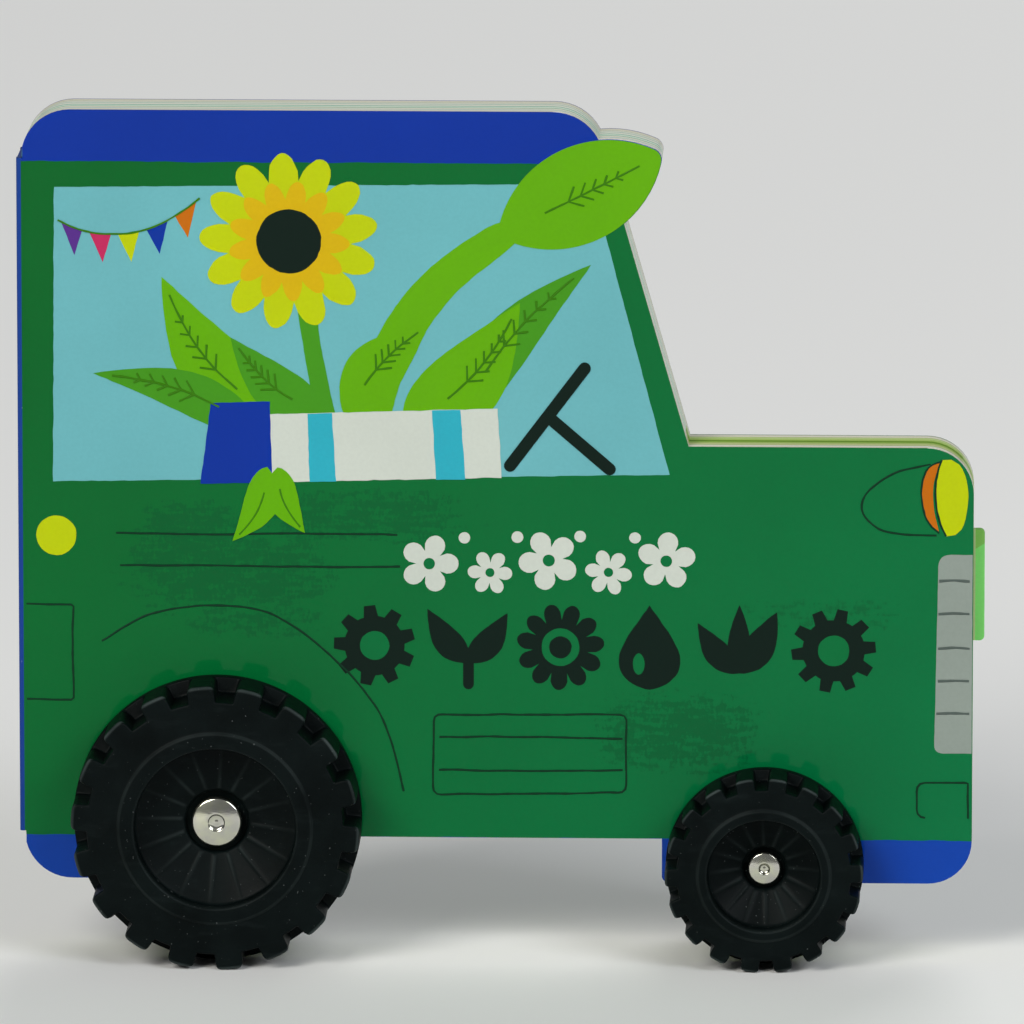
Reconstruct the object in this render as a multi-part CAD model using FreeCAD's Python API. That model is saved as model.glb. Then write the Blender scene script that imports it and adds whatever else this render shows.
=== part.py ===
"""Die-cut board book in the outline of a small tractor, standing on four turning wheels.

X runs along the book from the spine to the nose, Y through its thickness with the front cover
towards -Y, and Z up from the surface that the wheels stand on. Lengths are in millimetres.

The covers open on the spine like a book. Each cover carries its own two wheels: a pin with a
flat head is trapped between the cover board and its lining sheet, and holds a spacer washer,
the moulded wheel and a pushed-on domed cap. The back cover is the mirror image of the front.
"""

import math
import os

import FreeCAD
import Part

# Outline of the book, lengths along X from its spine edge and heights from its lowest edge
COVER_WIDTH = 194.0
BOOK_HEIGHT = 159.3
HOOD_HEIGHT = 90.5
BELLY_HEIGHT = 9.0
REAR_LEG_LENGTH = 65.3
REAR_LEG_SLANT = 3.1
FRONT_LEG_LENGTH = 63.4
HOOD_LENGTH = 58.1
PILLAR_LEAN = 19.85
ROOF_CORNER_RADIUS = 10.0
CAB_CORNER_RADIUS = 10.5
HOOD_CORNER_RADIUS = 9.6
NOSE_CORNER_RADIUS = 9.0
LEG_CORNER_RADIUS = 9.8
SMALL_CORNER_RADIUS = 1.2

# Leaf tip that stands out of the cab's front corner, measured from that corner
LEAF_LENGTH = 38.0
LEAF_BULGE = 10.0
LEAF_TIP_RADIUS = 2.5
LEAF_TILT_DEG = 27.0
LEAF_TIP_OUT = 14.0
LEAF_TIP_DOWN = 8.6

# Layers through the thickness
BOARD_THICKNESS = 2.0
LINING_THICKNESS = 0.6
LEAF_THICKNESS = 2.2
LEAF_COUNT = 4
CREASE_WIDTH = 0.2
CREASE_DEPTH = 0.8
COVER_PLAY = 0.15

# Spine strip and its fold lines
SPINE_THICKNESS = 1.0
SPINE_EDGE_RADIUS = 0.4
SPINE_INSET = 0.15
HINGE_GAP = 0.3
FOLD_LINE_WIDTH = 0.6
FOLD_LINE_DEPTH = 0.25
FOLD_LINE_INSET = 1.3

# Index tab on one inner leaf, its height from the book's lowest edge
TAB_LEAF = 1
TAB_REACH = 2.3
TAB_BOTTOM = 49.8
TAB_LENGTH = 23.0
TAB_ROOT = 6.0
TAB_CORNER_RADIUS = 1.0

# Where the wheels sit
LARGE_AXLE_X = 39.8
SMALL_AXLE_SETBACK = 42.3
SMALL_AXLE_RISE = 4.25
WHEEL_GAP = 1.5

# Large wheel
LARGE_RADIUS = 29.5
LARGE_WIDTH = 14.0
LARGE_TREAD_DEPTH = 3.3
LARGE_SHOULDER = 1.5
LARGE_BEAD_RADIUS = 19.9
LARGE_DISH_RADIUS = 16.6
LARGE_DISH_DEPTH = 4.4
LARGE_CUP_RADIUS = 6.4
LARGE_CAP_RADIUS = 5.2
LARGE_CAP_HEIGHT = 2.9
LARGE_CAP_STAND = 9.0
LARGE_DIMPLE_RADIUS = 1.85
LARGE_PIN_RADIUS = 2.5
LARGE_HEAD_RADIUS = 6.0
LARGE_LUG_PHASE_DEG = 4.3

# Small wheel
SMALL_RADIUS = 20.25
SMALL_WIDTH = 13.0
SMALL_TREAD_DEPTH = 2.5
SMALL_SHOULDER = 1.0
SMALL_BEAD_RADIUS = 13.7
SMALL_DISH_RADIUS = 11.6
SMALL_DISH_DEPTH = 4.6
SMALL_CUP_RADIUS = 4.3
SMALL_CAP_RADIUS = 3.5
SMALL_CAP_HEIGHT = 2.1
SMALL_CAP_STAND = 7.0
SMALL_DIMPLE_RADIUS = 1.25
SMALL_PIN_RADIUS = 1.75
SMALL_HEAD_RADIUS = 3.5
SMALL_LUG_PHASE_DEG = -1.7

# Moulding sizes that both wheels share
LUG_COUNT = 18
LUG_GAP_DEG = 8.0
LUG_DRAFT_DEG = 8.0
BACK_RING_WIDTH = 2.6
BEAD_HEIGHT = 0.5
WHEEL_WALL = 2.0
CUP_DEPTH = 1.3
RIB_COUNT = 16
RIB_WIDTH = 0.7
RIB_HEIGHT = 0.4

# Pins, caps and fits
HEAD_THICKNESS = 0.8
CAP_SHELL = 0.5
CAP_RIM_SHARE = 0.55
DIMPLE_DEPTH = 0.45
RUNNING_CLEARANCE = 0.05
SEAT_CLEARANCE = 0.02
AXIAL_PLAY = 0.1
OVERCUT = 1.0

# Worked out from the sizes above
BOOK_BOTTOM = SMALL_RADIUS - SMALL_AXLE_RISE
BOOK_TOP = BOOK_BOTTOM + BOOK_HEIGHT
BLOCK_HALF = (LEAF_COUNT * LEAF_THICKNESS + (LEAF_COUNT - 1) * CREASE_WIDTH) / 2
LINING_INNER = BLOCK_HALF + COVER_PLAY
BOARD_INNER = LINING_INNER + LINING_THICKNESS
BOARD_OUTER = BOARD_INNER + BOARD_THICKNESS
CAB_CORNER_X = COVER_WIDTH - HOOD_LENGTH - PILLAR_LEAN
CENTRE_X = (COVER_WIDTH + TAB_REACH - SPINE_THICKNESS) / 2

Y_AXIS = FreeCAD.Vector(0, 1, 0)
ORIGIN = FreeCAD.Vector(0, 0, 0)

LARGE = {
    "x": LARGE_AXLE_X, "radius": LARGE_RADIUS, "width": LARGE_WIDTH,
    "tread": LARGE_TREAD_DEPTH, "shoulder": LARGE_SHOULDER,
    "bead": LARGE_BEAD_RADIUS, "dish": LARGE_DISH_RADIUS, "dish_depth": LARGE_DISH_DEPTH,
    "cup": LARGE_CUP_RADIUS, "cap": LARGE_CAP_RADIUS, "cap_height": LARGE_CAP_HEIGHT,
    "cap_stand": LARGE_CAP_STAND, "dimple": LARGE_DIMPLE_RADIUS, "pin": LARGE_PIN_RADIUS,
    "head": LARGE_HEAD_RADIUS, "phase": LARGE_LUG_PHASE_DEG,
}
SMALL = {
    "x": COVER_WIDTH - SMALL_AXLE_SETBACK, "radius": SMALL_RADIUS, "width": SMALL_WIDTH,
    "tread": SMALL_TREAD_DEPTH, "shoulder": SMALL_SHOULDER,
    "bead": SMALL_BEAD_RADIUS, "dish": SMALL_DISH_RADIUS, "dish_depth": SMALL_DISH_DEPTH,
    "cup": SMALL_CUP_RADIUS, "cap": SMALL_CAP_RADIUS, "cap_height": SMALL_CAP_HEIGHT,
    "cap_stand": SMALL_CAP_STAND, "dimple": SMALL_DIMPLE_RADIUS, "pin": SMALL_PIN_RADIUS,
    "head": SMALL_HEAD_RADIUS, "phase": SMALL_LUG_PHASE_DEG,
}


def arc(start, middle, end):
    """Circular edge through three points."""
    return Part.Arc(start, middle, end).toShape()


def rounded_face(corners):
    """Face in the XZ plane through (x, z, radius) corners, rounded by arcs; radius 0 is sharp."""
    points = [FreeCAD.Vector(x, 0, z) for x, z, _ in corners]
    bends = []
    for index, (_, _, radius) in enumerate(corners):
        here = points[index]
        back = (points[index - 1] - here).normalize()
        ahead = (points[(index + 1) % len(points)] - here).normalize()
        half = back.getAngle(ahead) / 2
        inward = (back + ahead).normalize()
        cut = radius / math.tan(half)
        middle = here + inward * (radius / math.sin(half) - radius)
        bends.append((here + back * cut, middle, here + ahead * cut))
    edges = []
    for index, (start, middle, end) in enumerate(bends):
        if corners[index][2]:
            edges.append(arc(start, middle, end))
        edges.append(Part.makeLine(end, bends[(index + 1) % len(bends)][0]))
    return Part.Face(Part.Wire(edges))


def tractor_face():
    """The vehicle outline: cab with a leaning front pillar, hood, two legs and a raised belly."""
    belly = BOOK_BOTTOM + BELLY_HEIGHT
    hood = BOOK_BOTTOM + HOOD_HEIGHT
    front_leg = COVER_WIDTH - FRONT_LEG_LENGTH
    return rounded_face([
        (0, BOOK_BOTTOM, LEG_CORNER_RADIUS),
        (REAR_LEG_LENGTH, BOOK_BOTTOM, SMALL_CORNER_RADIUS),
        (REAR_LEG_LENGTH + REAR_LEG_SLANT, belly, 0),
        (front_leg, belly, 0),
        (front_leg, BOOK_BOTTOM, SMALL_CORNER_RADIUS),
        (COVER_WIDTH, BOOK_BOTTOM, NOSE_CORNER_RADIUS),
        (COVER_WIDTH, hood, HOOD_CORNER_RADIUS),
        (COVER_WIDTH - HOOD_LENGTH, hood, 0),
        (CAB_CORNER_X, BOOK_TOP, CAB_CORNER_RADIUS),
        (0, BOOK_TOP, ROOF_CORNER_RADIUS),
    ])


def leaf_face(inset):
    """Lens of two equal arcs with a rounded tip at the right, turned up to its tilt."""
    half = LEAF_LENGTH / 2
    radius = (half ** 2 + LEAF_BULGE ** 2) / (2 * LEAF_BULGE)
    drop = radius - LEAF_BULGE
    nose_x = math.sqrt((radius - LEAF_TIP_RADIUS) ** 2 - drop ** 2)
    slope = math.atan2(drop, nose_x)
    radius -= inset
    tip = LEAF_TIP_RADIUS - inset
    root = FreeCAD.Vector(-math.sqrt(radius ** 2 - drop ** 2), 0, 0)
    point = FreeCAD.Vector(nose_x + tip, 0, 0)
    touch_x = nose_x + tip * math.cos(slope)
    touch_z = tip * math.sin(slope)
    upper = FreeCAD.Vector(touch_x, 0, touch_z)
    lower = FreeCAD.Vector(touch_x, 0, -touch_z)
    crown = FreeCAD.Vector(0, 0, radius - drop)
    face = Part.Face(Part.Wire([
        arc(root, crown, upper), arc(upper, point, lower), arc(lower, -crown, root),
    ]))
    face.rotate(ORIGIN, Y_AXIS, -LEAF_TILT_DEG)
    tilt = math.radians(LEAF_TILT_DEG)
    reach = nose_x + LEAF_TIP_RADIUS
    face.translate(FreeCAD.Vector(
        CAB_CORNER_X + LEAF_TIP_OUT - reach * math.cos(tilt), 0,
        BOOK_TOP - LEAF_TIP_DOWN - reach * math.sin(tilt),
    ))
    return face


def die_cut(start, end, inset=0.0):
    """Slab of the whole outline between two values of Y, its edge drawn in by the inset."""
    body = tractor_face()
    if inset:
        body = body.makeOffset2D(-inset)
    depth = FreeCAD.Vector(0, end - start, 0)
    slab = body.extrude(depth).fuse(leaf_face(inset).extrude(depth))
    slab.translate(FreeCAD.Vector(0, start, 0))
    return slab.removeSplitter()


def box(low, high):
    """Box between two opposite corners."""
    size = [b - a for a, b in zip(low, high)]
    return Part.makeBox(*size, FreeCAD.Vector(*low))


def tab_shape(start, end):
    """Rounded index tab that stands out past the nose edge of its leaf."""
    bottom = BOOK_BOTTOM + TAB_BOTTOM
    top = bottom + TAB_LENGTH
    face = rounded_face([
        (COVER_WIDTH - TAB_ROOT, bottom, TAB_CORNER_RADIUS),
        (COVER_WIDTH + TAB_REACH, bottom, TAB_CORNER_RADIUS),
        (COVER_WIDTH + TAB_REACH, top, TAB_CORNER_RADIUS),
        (COVER_WIDTH - TAB_ROOT, top, TAB_CORNER_RADIUS),
    ])
    tab = face.extrude(FreeCAD.Vector(0, end - start, 0))
    tab.translate(FreeCAD.Vector(0, start, 0))
    return tab


def page_block():
    """Thick leaves glued into one block, with a shallow crease between neighbours."""
    pitch = LEAF_THICKNESS + CREASE_WIDTH
    pieces = []
    for index in range(LEAF_COUNT):
        start = -BLOCK_HALF + index * pitch
        pieces.append(die_cut(start, start + LEAF_THICKNESS))
        if index == TAB_LEAF:
            pieces.append(tab_shape(start, start + LEAF_THICKNESS))
        if index < LEAF_COUNT - 1:
            pieces.append(die_cut(start + LEAF_THICKNESS, start + pitch, CREASE_DEPTH))
    return pieces[0].multiFuse(pieces[1:]).removeSplitter()


def spine():
    """Strip down the straight part of the back edge, with a fold line along each side."""
    bottom = BOOK_BOTTOM + LEG_CORNER_RADIUS
    top = BOOK_TOP - ROOF_CORNER_RADIUS
    half = BOARD_OUTER - SPINE_INSET
    strip = box((-SPINE_THICKNESS, -half, bottom), (0, half, top))
    outer = [edge for edge in strip.Edges if edge.BoundBox.XMax < -SPINE_THICKNESS / 2]
    strip = strip.makeFillet(SPINE_EDGE_RADIUS, outer)
    for side in (-1, 1):
        middle = side * (half - FOLD_LINE_INSET)
        strip = strip.cut(box(
            (-SPINE_THICKNESS - OVERCUT, middle - FOLD_LINE_WIDTH / 2, bottom - OVERCUT),
            (-SPINE_THICKNESS + FOLD_LINE_DEPTH, middle + FOLD_LINE_WIDTH / 2, top + OVERCUT),
        ))
    return strip


def turned(profile):
    """Solid turned about Y from (radius, distance out) points."""
    points = [FreeCAD.Vector(radius, -out, 0) for radius, out in profile + profile[:1]]
    return Part.Face(Part.makePolygon(points)).revolve(ORIGIN, Y_AXIS, 360)


def around(shape, count, phase=0.0):
    """Copies of a shape spread evenly about Y, the first turned by the phase in degrees."""
    copies = []
    for index in range(count):
        copy = shape.copy()
        copy.rotate(ORIGIN, Y_AXIS, phase + index * 360.0 / count)
        copies.append(copy)
    return copies


def seat_height(size):
    """How far out from the wheel's back face the cap's seat lies."""
    return size["cap_stand"] - WHEEL_GAP - size["cap_height"] - AXIAL_PLAY


def disc(radius, start, end):
    """Cylinder about Y between two distances out."""
    return Part.makeCylinder(radius, end - start, FreeCAD.Vector(0, -start, 0), -Y_AXIS)


def wheel_body(size):
    """Turned form of the wheel: hub, dished web, bead, sidewall and hollow back."""
    radius, width = size["radius"], size["width"]
    side = width - BEAD_HEIGHT
    seat = seat_height(size)
    dish_in = seat + CUP_DEPTH
    dish_out = width - size["dish_depth"]
    boss = size["cup"] + WHEEL_WALL
    well = size["dish"] + WHEEL_WALL
    tread_floor = radius - size["tread"]
    return turned([
        (size["pin"] + RUNNING_CLEARANCE, 0),
        (boss, 0),
        (boss, dish_in - WHEEL_WALL),
        (well, dish_in - WHEEL_WALL),
        (well, side - WHEEL_WALL),
        (tread_floor - WHEEL_WALL, side - WHEEL_WALL),
        (tread_floor - WHEEL_WALL, 0),
        (radius, 0),
        (radius, side),
        (size["bead"], side),
        (size["bead"], width),
        (size["dish"], width),
        (size["dish"], dish_out),
        (size["cup"], dish_in),
        (size["cup"], seat),
        (size["pin"] + RUNNING_CLEARANCE, seat),
    ])


def tread_gap(size):
    """Cutter for one gap between lugs, open to the front and wider at the rim."""
    radius = size["radius"]
    floor = radius - size["tread"]
    half = radius * math.sin(math.radians(LUG_GAP_DEG / 2))
    rise = size["tread"] + OVERCUT
    flare = math.tan(math.radians(LUG_DRAFT_DEG))
    low = half - flare * size["tread"]
    high = low + flare * rise
    corners = [(-low, floor), (low, floor), (high, floor + rise), (-high, floor + rise)]
    points = [FreeCAD.Vector(x, -BACK_RING_WIDTH, z) for x, z in corners + corners[:1]]
    face = Part.Face(Part.makePolygon(points))
    return face.extrude(FreeCAD.Vector(0, BACK_RING_WIDTH - size["width"], 0))


def fin(width, outline):
    """Radial plate above the axis, its (radius, distance out) outline centred on its width."""
    points = [FreeCAD.Vector(-width / 2, -out, radius) for radius, out in outline + outline[:1]]
    return Part.Face(Part.makePolygon(points)).extrude(FreeCAD.Vector(width, 0, 0))


def lug_shoulder(size):
    """Cutter that slopes the front edge of one lug."""
    shoulder = size["shoulder"]
    rim = size["radius"] + OVERCUT
    front = size["width"] - BEAD_HEIGHT + OVERCUT
    pitch = 2 * size["radius"] * math.sin(math.pi / LUG_COUNT)
    reach = shoulder + 2 * OVERCUT
    return fin(pitch, [(rim, front), (rim, front - reach), (rim - reach, front)])


def dish_rib(size):
    """Thin low rib that runs up the dish from the cap's cup to the foot of the dish's wall."""
    low = seat_height(size) + CUP_DEPTH
    high = size["width"] - size["dish_depth"]
    root = WHEEL_WALL / 2
    start = size["cup"] + RIB_HEIGHT
    reach = size["dish"] - RIB_HEIGHT
    return fin(RIB_WIDTH, [
        (start, low - root),
        (reach, high - root),
        (reach, high + RIB_HEIGHT),
        (start, low + RIB_HEIGHT),
    ])


def wheel(size):
    """Moulded wheel about Y at the origin, back face at Y 0, front towards -Y."""
    body = wheel_body(size)
    body = body.multiFuse(around(dish_rib(size), RIB_COUNT, size["phase"]))
    lug_phase = size["phase"] + 180.0 / LUG_COUNT
    cutters = around(lug_shoulder(size), LUG_COUNT, lug_phase)
    cutters += around(tread_gap(size), LUG_COUNT, size["phase"])
    return body.cut(cutters).removeSplitter()


def pin(size):
    """Axle pin from its trapped head, behind the board, to its tip inside the cap."""
    head = BOARD_INNER - BOARD_OUTER - WHEEL_GAP
    crown = seat_height(size) + AXIAL_PLAY + size["cap_height"]
    tip = crown - DIMPLE_DEPTH - CAP_SHELL - SEAT_CLEARANCE
    radius = size["pin"]
    return turned([
        (0, head),
        (size["head"], head),
        (size["head"], head + HEAD_THICKNESS),
        (radius, head + HEAD_THICKNESS),
        (radius, tip),
        (0, tip),
    ])


def washer(size):
    """Spacer between the board and the turning hub."""
    ring = disc(size["cap"], -WHEEL_GAP, -AXIAL_PLAY)
    return ring.cut(disc(size["pin"] + RUNNING_CLEARANCE, -WHEEL_GAP, 0))


def cap(size):
    """Pressed low dome with a dimple in its crown, a straight rim and a blind bore for the pin."""
    radius, height, dimple = size["cap"], size["cap_height"], size["dimple"]
    grip = size["pin"] + SEAT_CLEARANCE
    floor = seat_height(size) + AXIAL_PLAY
    crown = floor + height
    return turned([
        (grip, floor),
        (radius, floor),
        (radius, floor + CAP_RIM_SHARE * height),
        (dimple, crown),
        (dimple, crown - DIMPLE_DEPTH),
        (0, crown - DIMPLE_DEPTH),
        (0, crown - DIMPLE_DEPTH - CAP_SHELL),
        (grip, crown - DIMPLE_DEPTH - CAP_SHELL),
    ])


def cover_layer(inner, outer):
    """One sheet of the front cover, cut back a little at the spine so that it can swing."""
    sheet = die_cut(-outer, -inner)
    swing = box((-OVERCUT, -outer - OVERCUT, 0), (HINGE_GAP, -inner + OVERCUT, BOOK_TOP + OVERCUT))
    return sheet.cut(swing)


def cover_board():
    """Front cover board, with a through hole and a pocket for the head of each pin."""
    board = cover_layer(BOARD_INNER, BOARD_OUTER)
    for size in (LARGE, SMALL):
        centre = FreeCAD.Vector(size["x"], 0, size["radius"])
        hole = disc(size["pin"] + SEAT_CLEARANCE, BOARD_INNER, BOARD_OUTER)
        pocket = disc(
            size["head"] + RUNNING_CLEARANCE, BOARD_INNER,
            BOARD_INNER + HEAD_THICKNESS + SEAT_CLEARANCE,
        )
        for cutter in (hole, pocket):
            cutter.translate(centre)
            board = board.cut(cutter)
    return board


def axle_set(name, size):
    """The four pieces on one pin of the front cover, in their place."""
    place = FreeCAD.Vector(size["x"], -BOARD_OUTER - WHEEL_GAP, size["radius"])
    pieces = {
        name + "_pin": pin(size),
        name + "_washer": washer(size),
        name + "_wheel": wheel(size),
        name + "_cap": cap(size),
    }
    for piece in pieces.values():
        piece.translate(place)
    return pieces


def save(name, shape):
    """Shift the piece so that the origin is under the book's middle, and write its STEP file."""
    shape.translate(FreeCAD.Vector(-CENTRE_X, 0, 0))
    shape.exportStep(os.path.join("parts", name + ".step"))


def main():
    os.makedirs("parts", exist_ok=True)
    cover = {
        "cover_board": cover_board(),
        "cover_lining": cover_layer(LINING_INNER, BOARD_INNER),
    }
    cover.update(axle_set("large", LARGE))
    cover.update(axle_set("small", SMALL))
    save("page_block", page_block())
    save("spine", spine())
    for name, shape in cover.items():
        save("back_" + name, shape.mirror(ORIGIN, Y_AXIS))
        save("front_" + name, shape)


main()
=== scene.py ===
import functools
from math import (acos, asin, atan2, copysign, cos, degrees, dist, hypot, pi, radians, sin, sqrt,
                  tan)

import bmesh
import bpy
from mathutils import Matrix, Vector, noise
from mathutils.geometry import delaunay_2d_cdt


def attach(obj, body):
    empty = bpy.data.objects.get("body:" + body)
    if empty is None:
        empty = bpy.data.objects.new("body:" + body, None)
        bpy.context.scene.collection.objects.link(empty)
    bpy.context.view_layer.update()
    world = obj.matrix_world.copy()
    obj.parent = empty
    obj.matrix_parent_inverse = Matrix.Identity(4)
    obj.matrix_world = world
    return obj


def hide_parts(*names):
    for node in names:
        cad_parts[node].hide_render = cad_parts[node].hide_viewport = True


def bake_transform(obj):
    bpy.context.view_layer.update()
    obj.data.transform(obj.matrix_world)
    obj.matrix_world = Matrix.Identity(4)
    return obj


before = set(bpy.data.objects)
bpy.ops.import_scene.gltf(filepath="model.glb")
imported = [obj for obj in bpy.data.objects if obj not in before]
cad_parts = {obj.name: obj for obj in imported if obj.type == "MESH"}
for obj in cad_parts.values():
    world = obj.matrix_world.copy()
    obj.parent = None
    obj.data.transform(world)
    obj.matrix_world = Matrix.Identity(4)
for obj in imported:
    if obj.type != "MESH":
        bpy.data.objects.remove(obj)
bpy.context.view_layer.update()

# Lengths below are in millimetres. X runs from the cover's spine edge and Z up from the floor,
# as on a flat drawing of the cover, and place() turns them into the frame's metres.
MM = 0.001
SPINE_EDGE = -97.65
COVER_WIDTH = 194.0
COVER_FACE = 7.45
LINING_FACE = 4.85
PAGE_FACE = 4.7
INK_STEP = 0.02
ROLLED_EDGE = 0.5

SIDES = {"front": -1, "back": 1}

WHEELS = {
    "large": {
        "x": 39.8, "radius": 29.5, "width": 14.0, "tread": 3.3, "shoulder": 0.75, "bead": 19.9,
        "dish": 16.6, "dish_depth": 4.4, "cup": 6.4, "cap": 5.2, "cap_height": 2.9,
        "cap_stand": 9.0, "dimple": 1.85, "pin": 2.5, "phase": 4.3,
    },
    "small": {
        "x": 151.7, "radius": 20.25, "width": 13.0, "tread": 2.5, "shoulder": 0.6, "bead": 13.7,
        "dish": 11.6, "dish_depth": 4.6, "cup": 4.3, "cap": 3.5, "cap_height": 2.1,
        "cap_stand": 7.0, "dimple": 1.25, "pin": 1.75, "phase": -1.7,
    },
}
WHEEL_GAP = 1.5
AXIAL_PLAY = 0.1
RUNNING_CLEARANCE = 0.05
CUP_DEPTH = 1.3
WHEEL_WALL = 2.0
BEAD_HEIGHT = 0.5
BACK_RING = 2.6
LUGS = 18
RIBS = 16
RIB_HEIGHT = 0.18
WELD = 0.004
# Leaves shorter than this have no side veins, which leave the midrib at this angle
LONG_LEAF, VEIN_ANGLE = 25, 0.75

# Printing inks under the film, in sRGB
INKS = {
    "green": "#006634", "deep_green": "#004d27", "blue": "#032d90", "sky": "#65a9af",
    "lime": "#5ba000", "leaf": "#3f8a16", "vein": "#357205", "yellow": "#b1bf00",
    "sun": "#c9a604", "orange": "#b66206", "magenta": "#b82858", "purple": "#522a80",
    "white": "#c0c6bc", "dark": "#021810", "teal": "#2aa0b2", "grey": "#879189",
    "pen": "#04301c", "soot": "#4f5a55",
}


# Materials

def linear(code):
    """Linear colour of an sRGB hex value."""
    parts = [int(code[i:i + 2], 16) / 255 for i in (1, 3, 5)]
    return [v / 12.92 if v <= 0.04045 else ((v + 0.055) / 1.055) ** 2.4 for v in parts] + [1.0]


def add(tree, kind, inputs=None, **settings):
    """Adds a node with its settings; an input takes a value, or a socket or node to feed it."""
    node = tree.nodes.new(kind)
    for name, value in settings.items():
        setattr(node, name, value)
    for name, value in (inputs or {}).items():
        if isinstance(value, bpy.types.Node):
            value = value.outputs[0]
        if isinstance(value, bpy.types.NodeSocket):
            tree.links.new(value, node.inputs[name])
        else:
            node.inputs[name].default_value = value
    return node


class Paint:
    """Material on a Principled shader, with short calls for the nodes that feed it."""

    def __init__(self, name, **sockets):
        self.material = bpy.data.materials.new(name)
        self.material.use_nodes = True
        self.tree = self.material.node_tree
        self.tree.nodes.clear()
        self.shader = add(self.tree, "ShaderNodeBsdfPrincipled", {
            label.replace("_", " "): value for label, value in sockets.items()
        })
        add(self.tree, "ShaderNodeOutputMaterial", {"Surface": self.shader})
        self.where = add(self.tree, "ShaderNodeTexCoord").outputs["Object"]
        self.axes = add(self.tree, "ShaderNodeSeparateXYZ", {"Vector": self.where}).outputs

    def calc(self, operation, *values):
        """Output of one arithmetic step on values or sockets."""
        node = add(self.tree, "ShaderNodeMath", dict(enumerate(values)), operation=operation)
        return node.outputs[0]

    def scaled(self, value, factor, offset):
        """Value times a factor, plus an offset."""
        return self.calc("MULTIPLY_ADD", value, factor, offset)

    def grain(self, size_mm, detail=2.0, stretch=(1, 1, 1)):
        """Noise whose blotches are about size_mm across, stretched along an axis where asked."""
        spot = add(self.tree, "ShaderNodeVectorMath", {
            0: self.where, 1: [1 / (MM * size_mm * s) for s in stretch],
        }, operation="MULTIPLY")
        return add(self.tree, "ShaderNodeTexNoise", {
            "Vector": spot, "Scale": 1.0, "Detail": detail,
        }).outputs[0]

    def mix(self, factor, low, high, mode="MIX"):
        """Mix by a factor of two colours, each a socket or an sRGB hex value."""
        values = {key: linear(value) if isinstance(value, str) else value
                  for key, value in ((0, factor), (6, low), (7, high))}
        node = add(self.tree, "ShaderNodeMix", values, data_type="RGBA", blend_type=mode)
        return node.outputs[2]

    def band(self, value, low, high):
        """Value brought from the range low to high into 0 to 1, with both ends held."""
        return add(self.tree, "ShaderNodeMapRange", {
            "Value": value, "From Min": low, "From Max": high,
        }).outputs[0]

    def toned(self, colour, shade):
        """Colour times a grey shade."""
        tone = add(self.tree, "ShaderNodeCombineColor", {0: shade, 1: shade, 2: shade})
        return self.mix(1.0, colour, tone, "MULTIPLY")

    def bump(self, height, strength, distance_mm, *sockets):
        """Fine relief, given to the shader's normal sockets."""
        relief = add(self.tree, "ShaderNodeBump", {
            "Height": height, "Strength": strength, "Distance": distance_mm * MM,
        })
        for socket in sockets:
            self.tree.links.new(relief.outputs[0], self.shader.inputs[socket])

    def film_bump(self):
        """Orange peel of a laminating film, waves of about 4 mm, and the board's grain."""
        height = self.scaled(self.grain(0.5, 3.0), 0.12, self.grain(4.0, 1.0))
        self.bump(height, 0.25, 0.04, "Normal", "Coat Normal")

    def finish(self, colour, rough=None):
        """The material, with its base colour and, where that varies, its roughness."""
        self.tree.links.new(colour, self.shader.inputs["Base Color"])
        if rough is not None:
            self.tree.links.new(rough, self.shader.inputs["Roughness"])
        return self.material

    def mottle(self, colour):
        """Ink that lies slightly unevenly on board, in broad and fine blotches."""
        broad = self.scaled(self.band(self.grain(30.0), 0.3, 0.7), 0.08, 0.92)
        fine = self.band(self.grain(0.7), 0.25, 0.75)
        return self.toned(colour, self.scaled(fine, 0.05, broad))

    def cut_board(self, colour):
        """Cut edge of pressed board: thin pulp layers across its thickness, and short fibres."""
        layers = self.scaled(self.grain(0.35, 2.0, (60, 1, 60)), 0.16, 0.86)
        return self.toned(colour, self.scaled(self.grain(0.6, 3.0), 0.08, layers))

    def brush_patch(self, centre, half, coverage):
        """Mask of a dry-brush patch: streaks along X that thin out towards the patch's border."""
        reach = []
        for axis, middle, size in ((0, centre[0] + SPINE_EDGE, half[0]), (2, centre[1], half[1])):
            offset = self.calc("SUBTRACT", self.axes[axis], middle * MM)
            share = self.calc("ABSOLUTE", self.calc("DIVIDE", offset, size * MM))
            reach.append(self.calc("POWER", share, 3.0))
        board = self.calc("MULTIPLY", self.grain(0.55, 2.0, (1, 1, 2)), 0.4)
        streaks = self.scaled(self.grain(1.1, 3.0, (4, 1, 1)), 0.6, board)
        level = self.scaled(self.calc("ADD", *reach), 0.16, 1.0 - coverage)
        return self.band(self.calc("SUBTRACT", streaks, level), -0.02, 0.07)

    def painted_ground(self):
        """Printed ground: green with blue roof and feet, darker dry-brush patches and a painted
        shade gradient.
        """
        ragged = self.scaled(self.grain(5.0, 3.0), 0.6 * MM, -0.3 * MM)
        height = self.calc("ADD", self.axes[2], ragged)
        roof = self.calc("GREATER_THAN", height, ROOF_LINE * MM)
        feet = self.calc("LESS_THAN", height, FEET_LINE * MM)
        # painted light and shade: the green is darker towards the top left and lighter towards the
        # low right, standing in for how the light fell
        painted_shade_slant = self.calc("SUBTRACT", self.axes[2], self.axes[0])
        green = self.mix(self.band(painted_shade_slant, -80 * MM, 230 * MM), "#006a3b", "#005d22")
        patches = 0.0
        for patch in BRUSH_PATCHES:
            patches = self.calc("MAXIMUM", self.brush_patch(*patch), patches)
        green = self.mix(self.calc("MULTIPLY", patches, 0.5), green, INKS["deep_green"])
        # the feet's blue is a little lighter than the roof's
        blue = self.mix(feet, INKS["blue"], "#0a3c9c")
        return self.mottle(self.mix(self.calc("MAXIMUM", roof, feet), green, blue))


FILM = {"Roughness": 0.55, "Coat_Weight": 0.28, "Coat_Roughness": 0.07, "Coat_IOR": 1.45,
        "Specular_IOR_Level": 0.02}
ROOF_LINE, FEET_LINE, HOOD_LINE = 164.7, 25.0, 109.0
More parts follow.
